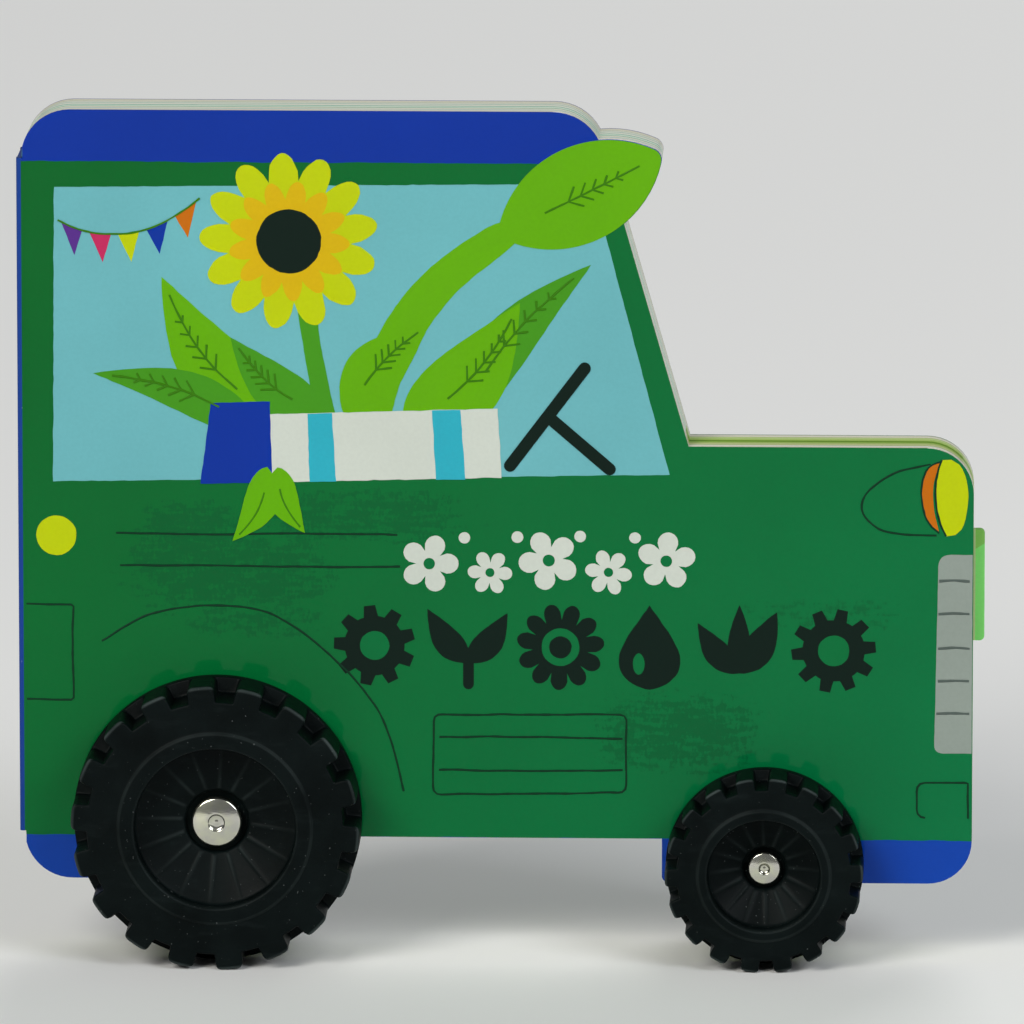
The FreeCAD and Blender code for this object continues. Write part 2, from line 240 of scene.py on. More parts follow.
# Centre, half size and coverage of the patches
BRUSH_PATCHES = (
    ((42, 80), (22, 8), 0.60), ((34, 87), (10, 8), 0.62), ((68, 92), (24, 6), 0.57),
    ((46, 70), (18, 4), 0.54), ((134, 47), (17, 9), 0.59), ((163, 72), (20, 4), 0.50),
)
# Height, swell, wave length and phase of the hills on the pages, and their colours
HILLS = (
    ((92, 5, 150, 0.4), "#5f9f6a"), ((74, 6, 120, 2.2), "#7db32c"),
    ((52, 4, 95, 4.0), "#3f9440"), ((32, 3, 70, 1.0), "#0b7440"),
)
PLOUGHED = (50, 4, 95, 4.0)
# Tab's root, and the height and slope of the line above which the tab is darker
TAB_ROOT, TAB_TONE_LINE, TAB_TONE_SLOPE = 194.4, 84.8, 0.63
SEED_PITCH, SEED_SIZE = 7.0, 0.75
# Colours across the block's cut edges, from the front leaf to the back one: pulp, and the film
# and ink at each leaf's faces
HOOD_STRIPES = (
    (0.0, "#a6b45c"), (0.05, "#bcc38c"), (0.19, "#a6be66"), (0.25, "#a2b868"), (0.33, "#86aa3c"),
    (0.43, "#5c8616"), (0.54, "#7ca234"), (0.61, "#a0be58"), (0.68, "#b2cc74"), (0.74, "#9cba60"),
    (0.79, "#bacf88"), (0.95, "#9eae7c"),
)
ROOF_STRIPES = (
    (0.0, "#a9cdbc"), (0.05, "#dcdccb"), (0.20, "#d7dcc0"), (0.245, "#3f9c80"), (0.28, "#d3e2d0"),
    (0.42, "#c8dcc8"), (0.47, "#5aa890"), (0.53, "#dfe0d2"), (0.70, "#c4d4c0"), (0.74, "#9dbfb0"),
    (0.79, "#dadccd"), (0.95, "#a9b8ae"),
)


@functools.cache
def ink(name):
    """Offset ink on board under gloss film: flat colour, clear soft-edged reflections."""
    paint = Paint("gloss_film_ink_" + name, **FILM)
    paint.film_bump()
    return paint.finish(paint.mottle(INKS[name]))


def cover_print():
    """Laminated cover board: the printed ground, and bare pulp on its cut edges."""
    paint = Paint("gloss_laminated_cover_board", **FILM)
    depth = paint.calc("ABSOLUTE", paint.axes[1])
    face = paint.calc("GREATER_THAN", depth, (COVER_FACE - ROLLED_EDGE + INK_STEP) * MM)
    paint.film_bump()
    return paint.finish(paint.mix(face, paint.cut_board("#d3d2bd"), paint.painted_ground()),
                        paint.scaled(face, -0.35, 0.85))


def hills(paint, height, swell, wave, phase):
    """Mask of the ground below a gently waved line."""
    along = paint.scaled(paint.axes[0], 2 * pi / (wave * MM), phase)
    line = paint.scaled(paint.calc("SINE", along), swell * MM, height * MM)
    return paint.calc("LESS_THAN", paint.axes[2], line)


def edge_stripes(paint, across, codes):
    """Plain stripes by their place across the block."""
    stripes = add(paint.tree, "ShaderNodeValToRGB", {"Fac": across})
    ramp = stripes.color_ramp
    ramp.interpolation = "CONSTANT"
    while len(ramp.elements) < len(codes):
        ramp.elements.new(0.5)
    for element, (position, _) in zip(ramp.elements, codes):
        element.position = position
    for element, (_, code) in zip(ramp.elements, codes):
        element.color = linear(code)
    return stripes.outputs[0]


def page_print():
    """Board pages: a printed field landscape on the faces, tinted pulp layers on the cut edges."""
    paint = Paint("gloss_laminated_page_board", **FILM)
    x, y, z = paint.axes
    across = paint.band(y, -PAGE_FACE * MM, PAGE_FACE * MM)
    edge = paint.mix(paint.calc("GREATER_THAN", z, HOOD_LINE * MM),
                     edge_stripes(paint, across, HOOD_STRIPES),
                     edge_stripes(paint, across, ROOF_STRIPES))
    colour = INKS["sky"]
    for shape, code in HILLS:
        colour = paint.mix(hills(paint, *shape), colour, code)
    wave = paint.calc("SINE", paint.scaled(z, 2200.0, paint.calc("MULTIPLY", x, 260.0)))
    furrows = paint.calc("MULTIPLY", paint.calc("GREATER_THAN", wave, 0.86),
                         hills(paint, *PLOUGHED))
    colour = paint.mix(paint.calc("MULTIPLY", furrows, 0.5), colour, INKS["deep_green"])
    face = paint.calc("GREATER_THAN", paint.calc("ABSOLUTE", y), (PAGE_FACE - 0.01) * MM)
    colour = paint.mix(face, paint.cut_board(edge), paint.mottle(colour))
    # the tab is a shade darker above a slanted line
    slope = paint.scaled(x, -TAB_TONE_SLOPE, z)
    upper_tab_tone = paint.calc("GREATER_THAN", slope,
                        (TAB_TONE_LINE - TAB_TONE_SLOPE * (TAB_ROOT + SPINE_EDGE)) * MM)
    root = paint.calc("LESS_THAN", x, (TAB_ROOT + SPINE_EDGE) * MM)
    tab_colour = paint.mix(root, paint.mix(upper_tab_tone, "#80dc72", "#7fbe58"), "#b4c890")
    tab = paint.calc("GREATER_THAN", x, (COVER_WIDTH + 0.02 + SPINE_EDGE) * MM)
    paint.film_bump()
    return paint.finish(paint.mix(tab, colour, paint.mottle(tab_colour)),
                        paint.scaled(face, -0.3, 0.8))


def lining_print():
    """Endpaper glued over the pins: printed with small seeds in staggered rows."""
    paint = Paint("gloss_laminated_endpaper", **FILM)
    x, y, z = paint.axes
    pitch = SEED_PITCH * MM
    row = paint.calc("FLOOR", paint.calc("DIVIDE", z, pitch))
    shift = paint.calc("MULTIPLY", paint.calc("MODULO", row, 2.0), pitch / 2)
    u = paint.calc("PINGPONG", paint.calc("ADD", x, shift), pitch / 2)
    v = paint.calc("PINGPONG", paint.calc("ADD", z, pitch / 2), pitch / 2)
    squares = [paint.calc("POWER", length, 2.0) for length in (u, paint.calc("MULTIPLY", v, 0.6))]
    near = paint.calc("POWER", paint.calc("ADD", *squares), 0.5)
    seed = paint.calc("LESS_THAN", near, SEED_SIZE * MM)
    face = paint.calc("LESS_THAN", paint.calc("ABSOLUTE", y), (LINING_FACE + 0.01) * MM)
    paint.film_bump()
    return paint.finish(paint.mix(face, paint.cut_board("#e6e0d8"),
                                  paint.mottle(paint.mix(seed, "#b9c93c", "#4b9220"))))


def fold_paper():
    """Printed paper wrapped over the spine, cracked a little white along its folds."""
    paint = Paint("gloss_laminated_spine_paper", **FILM)
    fold = paint.band(paint.calc("ABSOLUTE", paint.axes[1]), 6.9 * MM, 7.3 * MM)
    crack = paint.calc("MULTIPLY", paint.grain(0.5, 4.0, (1, 1, 5)), fold)
    wear = paint.calc("MULTIPLY", paint.calc("GREATER_THAN", crack, 0.74), 0.6)
    colour = paint.mix(wear, paint.mottle("#123a86"), "#aab4c2")
    on_cover = paint.calc("GREATER_THAN", paint.axes[0], (SPINE_EDGE - 0.02) * MM)
    paint.film_bump()
    return paint.finish(paint.mix(on_cover, colour, paint.painted_ground()))


def wheel_plastic():
    """Soft moulded vinyl: nearly black, satin, with fine spark texture, a little dust, and rubbed
    edges lightened also as painted highlight.
    """
    paint = Paint("moulded_soft_vinyl", Specular_IOR_Level=0.06)
    cloud = paint.band(paint.grain(9.0, 3.0), 0.3, 0.7)
    specks = paint.band(paint.grain(0.55, 1.0), 0.75, 0.79)
    scuff = paint.band(paint.grain(2.2, 5.0, (3, 1, 1)), 0.58, 0.75)
    # the wear attribute lightens rubbed edges and also serves as painted highlight on the lug
    # shoulders and rib tops
    rubbed_and_highlit = add(paint.tree, "ShaderNodeAttribute", attribute_name="wear").outputs["Fac"]
    patchy_wear_and_highlight = paint.calc("MULTIPLY", rubbed_and_highlit, paint.calc("ADD", cloud, 0.35))
    colour = paint.mix(cloud, "#030808", "#081010")
    # the last entry is the pale grey of rubbed edges and painted highlight
    for mask, share, code in ((specks, 0.3, "#7f8584"), (scuff, 0.25, "#1a2222"),
                              (patchy_wear_and_highlight, 0.7, "#3c4544")):
        colour = paint.mix(paint.calc("MULTIPLY", mask, share), colour, code)
    spark = paint.scaled(paint.grain(2.5, 3.0), 1.5, paint.grain(0.25))
    paint.bump(spark, 0.5, 0.05, "Normal")
    return paint.finish(colour, paint.scaled(scuff, 0.12, paint.scaled(cloud, 0.10, 0.42)))


def steel(name, code, rough, scratch_mm):
    """Plated steel: neutral mirror softened by fine handling scratches."""
    paint = Paint(name, Metallic=1.0)
    scratch = paint.grain(scratch_mm, 4.0, (6, 1, 1))
    cloud = paint.grain(2.5)
    paint.bump(paint.scaled(cloud, 3.0, scratch), 0.3, 0.02, "Normal")
    return paint.finish(paint.mix(paint.band(cloud, 0.35, 0.65), code, "#c9c7bf"),
                        paint.scaled(scratch, rough, rough * 0.6))


# Geometry Nodes

def new_tree(name, inputs):
    """Geometry tree with named inputs, and its inputs' sockets."""
    tree = bpy.data.node_groups.new(name, "GeometryNodeTree")
    tree.interface.new_socket("Geometry", in_out="INPUT", socket_type="NodeSocketGeometry")
    for label, kind in inputs:
        tree.interface.new_socket(label, in_out="INPUT", socket_type="NodeSocket" + kind)
    tree.interface.new_socket("Geometry", in_out="OUTPUT", socket_type="NodeSocketGeometry")
    return tree, add(tree, "NodeGroupInput").outputs


def close_tree(tree, geometry, material):
    """Ends a tree in plain geometry with its material."""
    plain = add(tree, "GeometryNodeRealizeInstances", {"Geometry": geometry})
    finish = add(tree, "GeometryNodeSetMaterial", {"Geometry": plain, "Material": material})
    add(tree, "NodeGroupOutput", {0: finish})
    return tree


def pen_tree():
    """Flat hand-drawn line along each curve: a slightly wandering, slightly uneven stroke."""
    tree, given = new_tree("pen_stroke", [
        ("Width", "Float"), ("Relief", "Float"), ("Wander", "Float"), ("Spacing", "Float"),
        ("Ink", "Material"),
    ])
    even = add(tree, "GeometryNodeResampleCurve", {
        "Curve": given["Geometry"], "Length": given["Spacing"],
    }, mode="LENGTH")
    spot = add(tree, "GeometryNodeInputPosition")
    drift = add(tree, "ShaderNodeTexNoise", {"Vector": spot, "Scale": 140.0, "Detail": 1.0})
    centred = add(tree, "ShaderNodeVectorMath", {
        0: drift.outputs["Color"], 1: (0.5, 0.5, 0.5)}, operation="SUBTRACT")
    offset = add(tree, "ShaderNodeVectorMath", {
        0: centred, "Scale": given["Wander"]}, operation="SCALE")
    flat = add(tree, "ShaderNodeVectorMath", {0: offset, 1: (1, 0, 1)}, operation="MULTIPLY")
    moved = add(tree, "GeometryNodeSetPosition", {"Geometry": even, "Offset": flat})
    press = add(tree, "ShaderNodeTexNoise", {"Vector": spot, "Scale": 500.0, "Detail": 2.0})
    heavy = add(tree, "ShaderNodeMapRange", {
        "Value": press, "From Min": 0.3, "From Max": 0.7, "To Min": 0.7, "To Max": 1.25,
    })
    weighted = add(tree, "GeometryNodeSetCurveRadius", {"Curve": moved, "Radius": heavy})
    half = add(tree, "ShaderNodeMath", {0: given["Width"], 1: 0.5}, operation="MULTIPLY")
    ring = add(tree, "GeometryNodeCurvePrimitiveCircle", {"Resolution": 8, "Radius": half})
    stroke = add(tree, "GeometryNodeCurveToMesh", {
        "Curve": weighted, "Profile Curve": ring, "Fill Caps": True,
    })
    if "Scale" in stroke.inputs:
        tree.links.new(heavy.outputs[0], stroke.inputs["Scale"])
    squash = add(tree, "ShaderNodeCombineXYZ", {"X": 1.0, "Y": given["Relief"], "Z": 1.0})
    pressed = add(tree, "GeometryNodeTransform", {"Geometry": stroke, "Scale": squash})
    return close_tree(tree, pressed, given["Ink"])


def round_tree():
    """Copies of a sector spread evenly about Y and merged where they meet."""
    tree, given = new_tree("spread_round", [
        ("Count", "Int"), ("Phase", "Float"), ("Weld", "Float"), ("Finish", "Material"),
    ])
    points = add(tree, "GeometryNodePoints", {"Count": given["Count"]})
    index = add(tree, "GeometryNodeInputIndex")
    step = add(tree, "ShaderNodeMath", {0: 2 * pi, 1: given["Count"]}, operation="DIVIDE")
    angle = add(tree, "ShaderNodeMath", {
        0: index, 1: step, 2: given["Phase"]}, operation="MULTIPLY_ADD")
    turn = add(tree, "ShaderNodeCombineXYZ", {"Y": angle})
    copies = add(tree, "GeometryNodeInstanceOnPoints", {
        "Points": points, "Instance": given["Geometry"], "Rotation": turn,
    })
    plain = add(tree, "GeometryNodeRealizeInstances", {"Geometry": copies})
    welded = add(tree, "GeometryNodeMergeByDistance", {
        "Geometry": plain, "Distance": given["Weld"],
    })
    smooth = add(tree, "GeometryNodeSetShadeSmooth", {"Geometry": welded})
    return close_tree(tree, smooth, given["Finish"])


def grown_mesh(source, tree, **values):
    """Plain mesh that a tree makes from a source object, which is then removed."""
    modifier = source.modifiers.new("grow", "NODES")
    modifier.node_group = tree
    for item in tree.interface.items_tree:
        key = item.name.lower()
        if item.in_out == "INPUT" and key in values:
            modifier[item.identifier] = values[key]
    bpy.context.view_layer.update()
    graph = bpy.context.evaluated_depsgraph_get()
    mesh = bpy.data.meshes.new_from_object(source.evaluated_get(graph))
    bpy.data.objects.remove(source)
    return mesh


def link(name, data):
    """Object at the origin that shows this data."""
    piece = bpy.data.objects.new(name, data)
    bpy.context.scene.collection.objects.link(piece)
    return piece


def place(x, z, y=0.0):
    """Point of the frame, in metres, from the drawing's X and Z and a depth Y."""
    return Vector(((x + SPINE_EDGE) * MM, y * MM, z * MM))


# Drawing shapes, lists of (x, z) in millimetres

def smooth_line(points, spacing=1.0):
    """Points along a Catmull-Rom curve through the given ones."""
    ends = [points[0]] + list(points) + [points[-1]]
    path = []
    for a, b, c, d in zip(ends, ends[1:], ends[2:], ends[3:]):
        steps = max(1, int(dist(b, c) / spacing))
        for step in range(steps):
            t = step / steps
            path.append(tuple(
                0.5 * (2 * q + (r - p) * t + (2 * p - 5 * q + 4 * r - s) * t ** 2
                       + (3 * q - p - 3 * r + s) * t ** 3)
                for p, q, r, s in zip(a, b, c, d)))
    return path + [tuple(points[-1])]


def ring_points(cx, cz, rx, rz=None, count=48, start=0.0, end=2 * pi):
    """Points of an ellipse, or of part of one."""
    rz = rz or rx
    whole = end - start >= 2 * pi - 1e-6
    last = count if whole else count - 1
    return [(cx + rx * cos(start + (end - start) * i / last),
             cz + rz * sin(start + (end - start) * i / last)) for i in range(count)]


def rounded(corners, radius, steps=6):
    """Polygon with its corners rounded; radius is one number or one for each corner."""
    radii = radius if isinstance(radius, (list, tuple)) else [radius] * len(corners)
    path = []
    for index, corner in enumerate(corners):
        here = Vector(corner)
        back = (Vector(corners[index - 1]) - here).normalized()
        ahead = (Vector(corners[(index + 1) % len(corners)]) - here).normalized()
        if radii[index] <= 0:
            path.append(tuple(here))
            continue
        half = back.angle(ahead) / 2
        cut = radii[index] / tan(half)
        start, end = here + back * cut, here + ahead * cut
        for step in range(steps + 1):
            t = step / steps
            path.append(tuple(start * (1 - t) ** 2 + here * 2 * t * (1 - t) + end * t * t))
    return path


def leaf_blade(root, tip, bulge, lean=0.0, count=26):
    """Pointed leaf from its root to its tip, with its widest place nearer the root."""
    a, b = Vector(root), Vector(tip)
    along = b - a
    side = Vector((-along.y, along.x)).normalized()
    left, right = [], []
    for step in range(count + 1):
        t = step / count
        width = bulge * sin(pi * t ** 0.8) ** 0.9 * (1 - 0.25 * t)
        spine_line = a + along * t + side * (lean * sin(pi * t))
        left.append(tuple(spine_line + side * width))
        right.append(tuple(spine_line - side * width))
    return left + right[-2:0:-1]


def midrib(root, tip, lean=0.0, start=0.08, end=0.9, count=8):
    """Line of a leaf's midrib."""
    a, b = Vector(root), Vector(tip)
    along = b - a
    side = Vector((-along.y, along.x)).normalized()
    return [tuple(a + along * t + side * (lean * sin(pi * t)))
            for t in (start + (end - start) * i / count for i in range(count + 1))]


def stroke_shape(start, end, width):
    """Straight brush stroke with round ends."""
    a, b = Vector(start), Vector(end)
    turn = atan2(b.y - a.y, b.x - a.x)
    half = width / 2
    first = ring_points(a.x, a.y, half, count=9, start=turn + pi / 2,
                        end=turn + 3 * pi / 2)
    second = ring_points(b.x, b.y, half, count=9, start=turn - pi / 2,
                         end=turn + pi / 2)
    return first + second


def petal_ring(cx, cz, inner, outer, count, width, phase=0.0):
    """Flower outline: round petals about a centre."""
    points = []
    for index in range(count * 12):
        angle = phase + 2 * pi * index / (count * 12)
        wave = abs(cos(count * (angle - phase) / 2)) ** width
        reach = inner + (outer - inner) * wave
        points.append((cx + reach * cos(angle), cz + reach * sin(angle)))
    return points


def cog(cx, cz, root, tip, teeth, phase=0.0):
    """Toothed wheel outline with tapered teeth."""
    points = []
    for index in range(teeth):
        middle = phase + 2 * pi * index / teeth
        pitch = 2 * pi / teeth
        for share, reach in ((-0.34, root), (-0.2, tip), (0.2, tip), (0.34, root), (0.5, root)):
            angle = middle + share * pitch
            points.append((cx + reach * cos(angle), cz + reach * sin(angle)))
    return points


# without a seed, noise_vector starts from the clock
noise.seed_set(7)


def hand_cut(points, amount=0.12, spacing=1.3):
    """Outline divided finely and moved a little, as a shape cut or painted by hand."""
    path = []
    for index, point in enumerate(points):
        following = points[(index + 1) % len(points)]
        steps = max(1, int(dist(point, following) / spacing))
        for step in range(steps):
            t = step / steps
            path.append((point[0] + (following[0] - point[0]) * t,
                         point[1] + (following[1] - point[1]) * t))
    moved = []
    for x, z in path:
        drift = noise.noise_vector(Vector((x * 0.45, z * 0.45, 3.1)))
        fine = noise.noise_vector(Vector((x * 1.6, z * 1.6, 8.7)))
        moved.append((x + amount * (drift.x + 0.5 * fine.x),
                      z + amount * (drift.y + 0.5 * fine.y)))
    return moved


def book_leaf(inset=0.12, count=40):
    """Lens of the die-cut leaf tip, drawn in from its edge; same sizes as in the source."""
    length, bulge, tip_radius, tilt = 38.0, 10.0, 2.5, radians(27.0)
    half = length / 2
    radius = (half ** 2 + bulge ** 2) / (2 * bulge)
    drop = radius - bulge
    nose_x = sqrt((radius - tip_radius) ** 2 - drop ** 2)
    reach = nose_x + tip_radius
    slope = atan2(drop, nose_x)
    radius -= inset
    tip = tip_radius - inset
    start = pi - acos(sqrt(radius ** 2 - drop ** 2) / radius)
    upper = [(radius * cos(a), radius * sin(a) - drop)
             for a in (start + (slope - start) * i / count for i in range(count + 1))]
    end = [(nose_x + tip * cos(a), tip * sin(a))
           for a in (slope * (1 - 2 * i / 10) for i in range(1, 10))]
    lower = [(x, -z) for x, z in reversed(upper[1:])]
    shift_x = 116.05 + 14.0 - reach * cos(tilt)
    shift_z = 175.3 - 8.6 - reach * sin(tilt)
    return [(shift_x + x * cos(tilt) - z * sin(tilt),
             shift_z + x * sin(tilt) + z * cos(tilt)) for x, z in upper + end + lower]


# Cover artwork. A field is (ink, layer, outline), with its own amount of hand cut where it isn't
# its group's; 0 leaves an outline as it is.

STRING_START, STRING_END, STRING_SAG = (7.4, 152.6), (36.4, 157.2), 5.0
# Root, tip, half width and lean of the leaves
LEAVES = (
    ((88, 110), (116, 144), 6.0, 3), ((78, 110), (101.5, 136), 8.5, -3),
    ((54, 111), (28.5, 141), 8.0, 4), ((50, 108), (14.5, 121), 5.0, -3),
    ((62, 112), (42.5, 128.5), 5.5, 2), ((66, 112), (83, 131.5), 6.5, 2),
    ((50, 101.8), (42.8, 86.4), 4.0, 2.0), ((52, 101.8), (57.6, 88.2), 3.6, -1.5),
)
DIE_CUT_VEIN = ((97.0, 149.6), (129.0, 166.0), 0)


def cut_fields(fields, amount):
    """Fields whose outlines are cut by hand, by the group's amount or by a field's own."""
    cut = []
    for code, layer, outline, *own in fields:
        share = own[0] if own else amount
        cut.append((code, layer, hand_cut(outline, share) if share else outline))
    return cut


def string_point(share):
    """Place along the pennants' sagging string."""
    return (STRING_START[0] + (STRING_END[0] - STRING_START[0]) * share,
            STRING_START[1] + (STRING_END[1] - STRING_START[1]) * share
            - STRING_SAG * 4 * share * (1 - share))


def pennant(share):
    """Small triangle that hangs from the string."""
    (x0, z0), (x1, z1) = string_point(share - 0.075), string_point(share + 0.075)
    return [(x0, z0), (x1, z1), ((x0 + x1) / 2 + 0.5, (z0 + z1) / 2 - 6.0)]


def cab_fields():
    """Light window with a plant in a striped box, a sunflower, pennants and a steering wheel."""
    blades = [leaf_blade(*leaf) for leaf in LEAVES]
    stem = smooth_line([(66.5, 110), (72, 128), (82, 142), (97, 152.5), (101, 149), (88, 137.5),
                        (79, 124), (74.5, 110)])
    trunk = smooth_line([(60.5, 110), (57.5, 126), (55, 146), (58.5, 146), (61, 127), (64.5, 110)])
    return cut_fields([
        ("sky", 0, [(6.7, 159.4), (116.1, 160.6), (132.0, 100.7), (6.2, 98.6)]),
        ("leaf", 1, blades[0]), ("lime", 1, blades[1]), ("lime", 1, blades[2]),
        ("leaf", 1, blades[3]), ("lime", 2, stem, 0.1), ("leaf", 1, trunk, 0.1),
        ("leaf", 2, blades[4]), ("lime", 3, blades[5]), ("lime", 3, book_leaf(), 0),
        ("yellow", 3, petal_ring(54.5, 148.5, 12.6, 18.2, 13, 0.75, 0.2), 0.2),
        ("sun", 4, petal_ring(54.5, 148.5, 8.6, 12.4, 13, 0.9, 0.44), 0.15),
        ("dark", 5, ring_points(54.5, 148.5, 6.6), 0.2),
        ("white", 4, [(36.5, 98.3), (38.8, 112.4), (97.0, 114.2), (97.8, 99.9)], 0.15),
        ("blue", 5, [(36.3, 98.3), (38.5, 115.0), (50.5, 115.4), (51.0, 98.6)]),
        ("teal", 5, [(58.6, 98.8), (58.2, 112.9), (63.2, 113.1), (64.0, 98.9)]),
        ("teal", 5, [(84.4, 99.4), (83.6, 113.7), (89.4, 113.9), (90.4, 99.5)]),
        ("purple", 1, pennant(0.1), 0.1), ("magenta", 1, pennant(0.3), 0.1),
        ("yellow", 1, pennant(0.5), 0.1), ("blue", 1, pennant(0.7), 0.1),
        ("orange", 1, pennant(0.9), 0.1),
        ("dark", 6, stroke_shape((99.5, 102.4), (114.7, 122.6), 2.5), 0),
        ("dark", 6, stroke_shape((107.6, 112.3), (119.8, 101.8), 2.5), 0),
        ("lime", 6, blades[6], 0.1), ("lime", 6, blades[7], 0.1),
    ], 0.12)


def sign_fields():
    """A row of white blossoms over a row of dark farm signs: cogs, sprouts, a sun and a drop."""
    fields = []
    for index, (x, z, r) in enumerate((
        (83.0, 82.0, 6.0), (95.4, 80.2, 4.6), (107.4, 82.8, 6.2), (119.6, 80.4, 4.8),
        (131.4, 82.8, 6.0),
    )):
        fields += [("white", 0, petal_ring(x, z, r * 0.45, r, 5 + index % 2, 0.6, index), 0.08),
                   ("green", 1, ring_points(x, z, r * 0.2, count=20), 0.05)]
    fields += [("white", 0, ring_points(x, z, 1.2, count=20), 0.08)
               for x, z in ((90.2, 87.4), (101.0, 87.6), (113.8, 87.8), (125.0, 87.6))]
    drop = smooth_line([(128.0, 73.6), (122.2, 64.5), (122.6, 59.0), (128.0, 56.1),
                        (133.4, 59.0), (133.8, 64.5), (128.0, 73.6)], 0.8)[:-1]
    return cut_fields(fields + [
        ("dark", 0, cog(71.8, 64.9, 6.2, 8.4, 9, 0.3), 0.12),
        ("green", 1, ring_points(71.8, 64.9, 3.0, count=30)),
        ("dark", 0, leaf_blade((91, 61.5), (82.6, 72.6), 3.2, 0.8)),
        ("dark", 0, leaf_blade((91, 61.5), (99.0, 71.8), 3.2, -0.8)),
        ("dark", 0, stroke_shape((91, 57.0), (91, 63.5), 2.2), 0),
        ("dark", 0, petal_ring(109.8, 64.8, 5.6, 9.0, 11, 0.5, 0.1)),
        ("green", 1, ring_points(109.8, 64.8, 3.9, count=36)),
        ("dark", 2, ring_points(109.8, 64.8, 2.3, count=30)),
        ("dark", 0, drop),
        ("green", 1, ring_points(125.8, 61.4, 1.2, 2.2, 24), 0.05),
        ("dark", 0, leaf_blade((146.2, 59.6), (137.8, 70.0), 3.0, 0.8)),
        ("dark", 0, leaf_blade((146.2, 59.6), (154.0, 72.4), 3.6, -0.8)),
        ("dark", 0, leaf_blade((146.2, 59.6), (146.4, 73.8), 2.6, 0.0)),
        ("dark", 0, cog(165.6, 64.4, 6.4, 8.7, 10, 0.1), 0.12),
        ("green", 1, ring_points(165.6, 64.4, 3.2, count=30)),
    ], 0.1)


LAMP_GLASS = [
    (187.5, 104.1), (189.4, 104.2), (191.0, 103.2), (192.2, 101.0), (192.85, 97.7),
    (192.75, 94.4), (192.3, 91.8), (191.5, 89.7), (190.3, 88.6), (188.4, 88.3), (187.3, 90.6),
    (186.5, 93.6), (186.15, 96.8), (186.3, 99.8), (186.8, 102.2),
]
LAMP_SIDE = [
    (187.3, 103.7), (185.9, 103.3), (184.4, 102.2), (183.6, 100.1), (183.3, 97.3), (183.5, 94.6),
    (184.2, 92.1), (185.4, 90.2), (187.0, 88.9), (186.6, 90.6), (185.9, 93.6), (185.7, 97.0),
    (186.0, 100.2),
]


def vehicle_fields():
    """Lamps and grille of the vehicle."""
    return cut_fields([
        ("yellow", 0, ring_points(6.8, 87.4, 4.1), 0.1),
        ("orange", 1, smooth_line(LAMP_SIDE + LAMP_SIDE[:1])[:-1]),
        ("yellow", 2, smooth_line(LAMP_GLASS + LAMP_GLASS[:1])[:-1]),
        ("grey", 0, rounded([(193.85, 43.2), (193.85, 84.5), (186.9, 84.5), (186.2, 43.2)],
                            [0, 0, 2.6, 1.8])),
    ], 0.06)


def pen_lines():
    """Thin drawn lines of the vehicle: trim, wheel arch, louvre, panels and lamp housing."""
    louvre = rounded([(83.7, 33.9), (123.3, 34.6), (123.3, 50.9), (83.9, 50.6)], 1.6)
    return [
        [(19, 88.0), (38, 87.7), (58, 88.1), (76.5, 87.9)],
        [(19.8, 81.2), (40, 81.4), (60, 81.1), (77.1, 81.3)],
        smooth_line([(15.9, 65.6), (25.7, 71), (39, 73.1), (52.2, 70.6), (65.5, 60.2),
                     (73.7, 49), (77.8, 34.5)]),
        smooth_line([(185.2, 103.2), (178, 101.4), (172.5, 97.5), (171.2, 93.5), (174.5, 89.9),
                     (180.5, 88.6), (186.4, 88.4)]),
        [(0.6, 73.1), (10.2, 73.1), (10.0, 63.0), (10.2, 53.2), (0.6, 53.2)],
        [(85, 45.9), (104, 46.1), (122.6, 45.8)],
        [(85, 39.1), (104, 39.0), (122.6, 39.2)],
        louvre + louvre[:1],
        rounded([(193.2, 29.7), (193.2, 37.2), (182.7, 37.0), (182.7, 29.9)], [0, 0, 1.8, 1.8]),
        LAMP_SIDE[:9], LAMP_GLASS[9:] + LAMP_GLASS[:1],
    ]


def slat_lines():
    """Soft lines between the grille's bars."""
    return [[(187.1 - 0.012 * (84 - z), z), (190.0, z + 0.15), (193.3, z)]
            for z in (79.0, 72.2, 65.0, 58.3, 51.5)]


def vein_lines():
    """The pennants' string, and on each leaf a midrib, with side veins where it is long."""
    lines = [[string_point(i / 12) for i in range(13)]]
    for root, tip, lean in [(root, tip, lean) for root, tip, _, lean in LEAVES] + [DIE_CUT_VEIN]:
        rib = midrib(root, tip, lean, 0.3)
        lines.append(rib)
        if dist(root, tip) < LONG_LEAF:
            continue
        turn = atan2(tip[1] - root[1], tip[0] - root[0])
        for share in (2, 3, 4, 5, 6):
            x, z = rib[share]
            for end in (turn - VEIN_ANGLE, turn + VEIN_ANGLE):
                lines.append([(x + reach * cos(end), z + reach * sin(end))
                              for reach in (0.06, 4.2 - 0.45 * share)])
    return lines


# Solid makers

def finished(form, name, material, smooth=False):
    """Object of a closed form, with its faces turned outwards."""
    bmesh.ops.recalc_face_normals(form, faces=form.faces)
    if form.calc_volume(signed=True) < 0:
        bmesh.ops.reverse_faces(form, faces=form.faces)
    mesh = bpy.data.meshes.new(name)
    form.to_mesh(mesh)
    form.free()
    mesh.materials.append(material)
    if smooth:
        for polygon in mesh.polygons:
            polygon.use_smooth = True
    return link(name, mesh)


